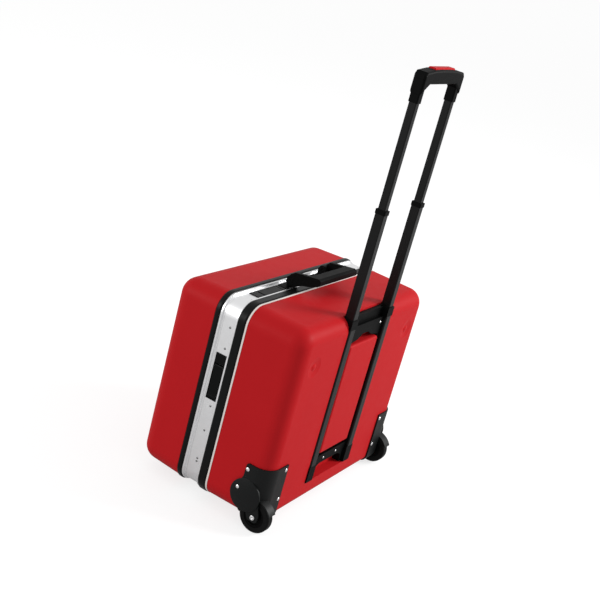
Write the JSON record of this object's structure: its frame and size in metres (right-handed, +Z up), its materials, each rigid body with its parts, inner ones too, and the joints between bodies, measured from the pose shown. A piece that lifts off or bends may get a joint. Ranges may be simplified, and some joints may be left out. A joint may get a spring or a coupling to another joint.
{
  "type": "rolling laptop case",
  "caption": "Hard-shell rolling case in two moulded halves joined by an aluminium frame, with lever latches, a carrying handle, a telescopic trolley and corner wheels.",
  "frame": {"origin": "on the floor under the middle of the upright case, halfway between the lid's front face and the back of the wheels", "axes": "+X to the case's left, seen from behind it with the wheels at the back, +Y from the lid to the trolley side, +Z up along the trolley handle"},
  "size_m": [0.554, 0.3473, 0.9785],
  "materials": {
    "shell": "satin, lightly grained",
    "bumper": "satin",
    "band": "satin anodised",
    "piping": "matt",
    "seal": "matt",
    "lining": "matt",
    "black_plastic": "satin",
    "latch_metal": "satin black",
    "rivet_steel": "satin",
    "steel": "brushed",
    "outer_tube": "satin black",
    "inner_tube": "satin black",
    "tyre_rubber": "matt",
    "hub": "satin",
    "button": "satin"
  },
  "bodies": {
    "base": {"base_shell": "shell", "base_frame": "band", "base_bumper": "bumper", "base_piping": "piping", "base_lining": "lining", "frame_rivets": "rivet_steel", "housing_rivets": "steel", "wheel_housing_left": "black_plastic", "wheel_housing_right": "black_plastic", "wheel_axles": "steel", "outer_tubes": "outer_tube", "bracket_screws": "steel", "top_bracket": "black_plastic", "bottom_bracket": "black_plastic", "latch_tray_side_left": "latch_metal", "latch_tray_side_right": "latch_metal", "latch_tray_top_left": "latch_metal", "latch_tray_top_right": "latch_metal", "latch_pins": "steel", "handle_base": "black_plastic", "handle_pins": "latch_metal", "base_hinge_leaves": "steel", "hinge_pins": "steel"},
    "lid": {"lid_shell": "shell", "lid_frame": "band", "lid_bumper": "bumper", "lid_seal": "seal", "lid_lining": "lining", "latch_keepers": "steel", "lid_hinge_leaves": "steel", "feet": "bumper"},
    "wheel_left": {"tyre_left": "tyre_rubber", "hub_left": "hub", "bearings_left": "steel"},
    "wheel_right": {"tyre_right": "tyre_rubber", "hub_right": "hub", "bearings_right": "steel"},
    "carrying_handle": {"carry_handle": "black_plastic"},
    "middle_stage": {"middle_tubes": "inner_tube", "middle_sliders": "black_plastic", "middle_collars": "black_plastic"},
    "middle_pins": {"middle_lock_pins": "steel"},
    "upper_stage": {"upper_tubes": "inner_tube", "upper_sliders": "black_plastic", "grip_lower": "black_plastic", "grip_upper": "black_plastic", "grip_screws": "steel", "button_springs": "steel"},
    "upper_pins": {"upper_lock_pins": "steel"},
    "button": {"release_button": "button", "push_rods": "steel"},
    "lever_side_left": {"latch_lever_side_left": "latch_metal"},
    "tongue_side_left": {"latch_tongue_side_left": "steel"},
    "lever_side_right": {"latch_lever_side_right": "latch_metal"},
    "tongue_side_right": {"latch_tongue_side_right": "steel"},
    "lever_top_left": {"latch_lever_top_left": "latch_metal"},
    "tongue_top_left": {"latch_tongue_top_left": "steel"},
    "lever_top_right": {"latch_lever_top_right": "latch_metal"},
    "tongue_top_right": {"latch_tongue_top_right": "steel"}
  },
  "joints": [
    {"name": "lid_hinge", "type": "hinge", "parent": "base", "child": "lid", "pos_m": [0, -0.0454, 0.019], "axis": [1, 0, 0], "range_deg": [0, 95]},
    {"name": "left_wheel_spin", "type": "hinge", "parent": "base", "child": "wheel_left", "pos_m": [0.2545, 0.137, 0.036], "axis": [1, 0, 0], "continuous": true},
    {"name": "right_wheel_spin", "type": "hinge", "parent": "base", "child": "wheel_right", "pos_m": [-0.2545, 0.137, 0.036], "axis": [1, 0, 0], "continuous": true},
    {"name": "handle_pivot", "type": "hinge", "parent": "base", "child": "carrying_handle", "pos_m": [0, -0.022, 0.472], "axis": [1, 0, 0], "range_deg": [0, 90]},
    {"name": "middle_stage_slide", "type": "slide", "parent": "base", "child": "middle_stage", "axis": [0, 0, 1], "range_m": [-0.22, 0]},
    {"name": "middle_pin_slide", "type": "slide", "parent": "middle_stage", "child": "middle_pins", "axis": [0, -1, 0], "range_m": [0, 0.003], "stiffness_N_per_m": 800, "springref_m": -0.003},
    {"name": "upper_stage_slide", "type": "slide", "parent": "middle_stage", "child": "upper_stage", "axis": [0, 0, 1], "range_m": [-0.218, 0]},
    {"name": "button_press", "type": "slide", "parent": "upper_stage", "child": "button", "axis": [0, 0, -1], "range_m": [0, 0.005], "stiffness_N_per_m": 800, "springref_m": -0.005, "deforming": ["button_springs"]},
    {"name": "upper_pin_slide", "type": "slide", "parent": "upper_stage", "child": "upper_pins", "axis": [0, -1, 0], "range_m": [0, 0.003]},
    {"name": "side_left_lever", "type": "hinge", "parent": "base", "child": "lever_side_left", "pos_m": [0.2636, -0.02875, 0.3065], "axis": [0, -1, 0], "range_deg": [0, 75]},
    {"name": "side_left_tongue", "type": "slide", "parent": "base", "child": "tongue_side_left", "axis": [0, 1, 0], "range_m": [0, 0.0042]},
    {"name": "side_right_lever", "type": "hinge", "parent": "base", "child": "lever_side_right", "pos_m": [-0.2636, -0.02875, 0.3065], "axis": [0, 1, 0], "range_deg": [0, 75]},
    {"name": "side_right_tongue", "type": "slide", "parent": "base", "child": "tongue_side_right", "axis": [0, 1, 0], "range_m": [0, 0.0042]},
    {"name": "top_left_lever", "type": "hinge", "parent": "base", "child": "lever_top_left", "pos_m": [0.1695, -0.02875, 0.4496], "axis": [0, 1, 0], "range_deg": [0, 75]},
    {"name": "top_left_tongue", "type": "slide", "parent": "base", "child": "tongue_top_left", "axis": [0, 1, 0], "range_m": [0, 0.0042]},
    {"name": "top_right_lever", "type": "hinge", "parent": "base", "child": "lever_top_right", "pos_m": [-0.1695, -0.02875, 0.4496], "axis": [0, -1, 0], "range_deg": [0, 75]},
    {"name": "top_right_tongue", "type": "slide", "parent": "base", "child": "tongue_top_right", "axis": [0, 1, 0], "range_m": [0, 0.0042]}
  ],
  "couplings": [
    {"joint": "upper_pin_slide", "follows": "button_press", "ratio": 0.6},
    {"joint": "side_left_tongue", "follows": "side_left_lever", "m_per_rad": 0.0032},
    {"joint": "side_right_tongue", "follows": "side_right_lever", "m_per_rad": 0.0032},
    {"joint": "top_left_tongue", "follows": "top_left_lever", "m_per_rad": 0.0032},
    {"joint": "top_right_tongue", "follows": "top_right_lever", "m_per_rad": 0.0032}
  ]
}
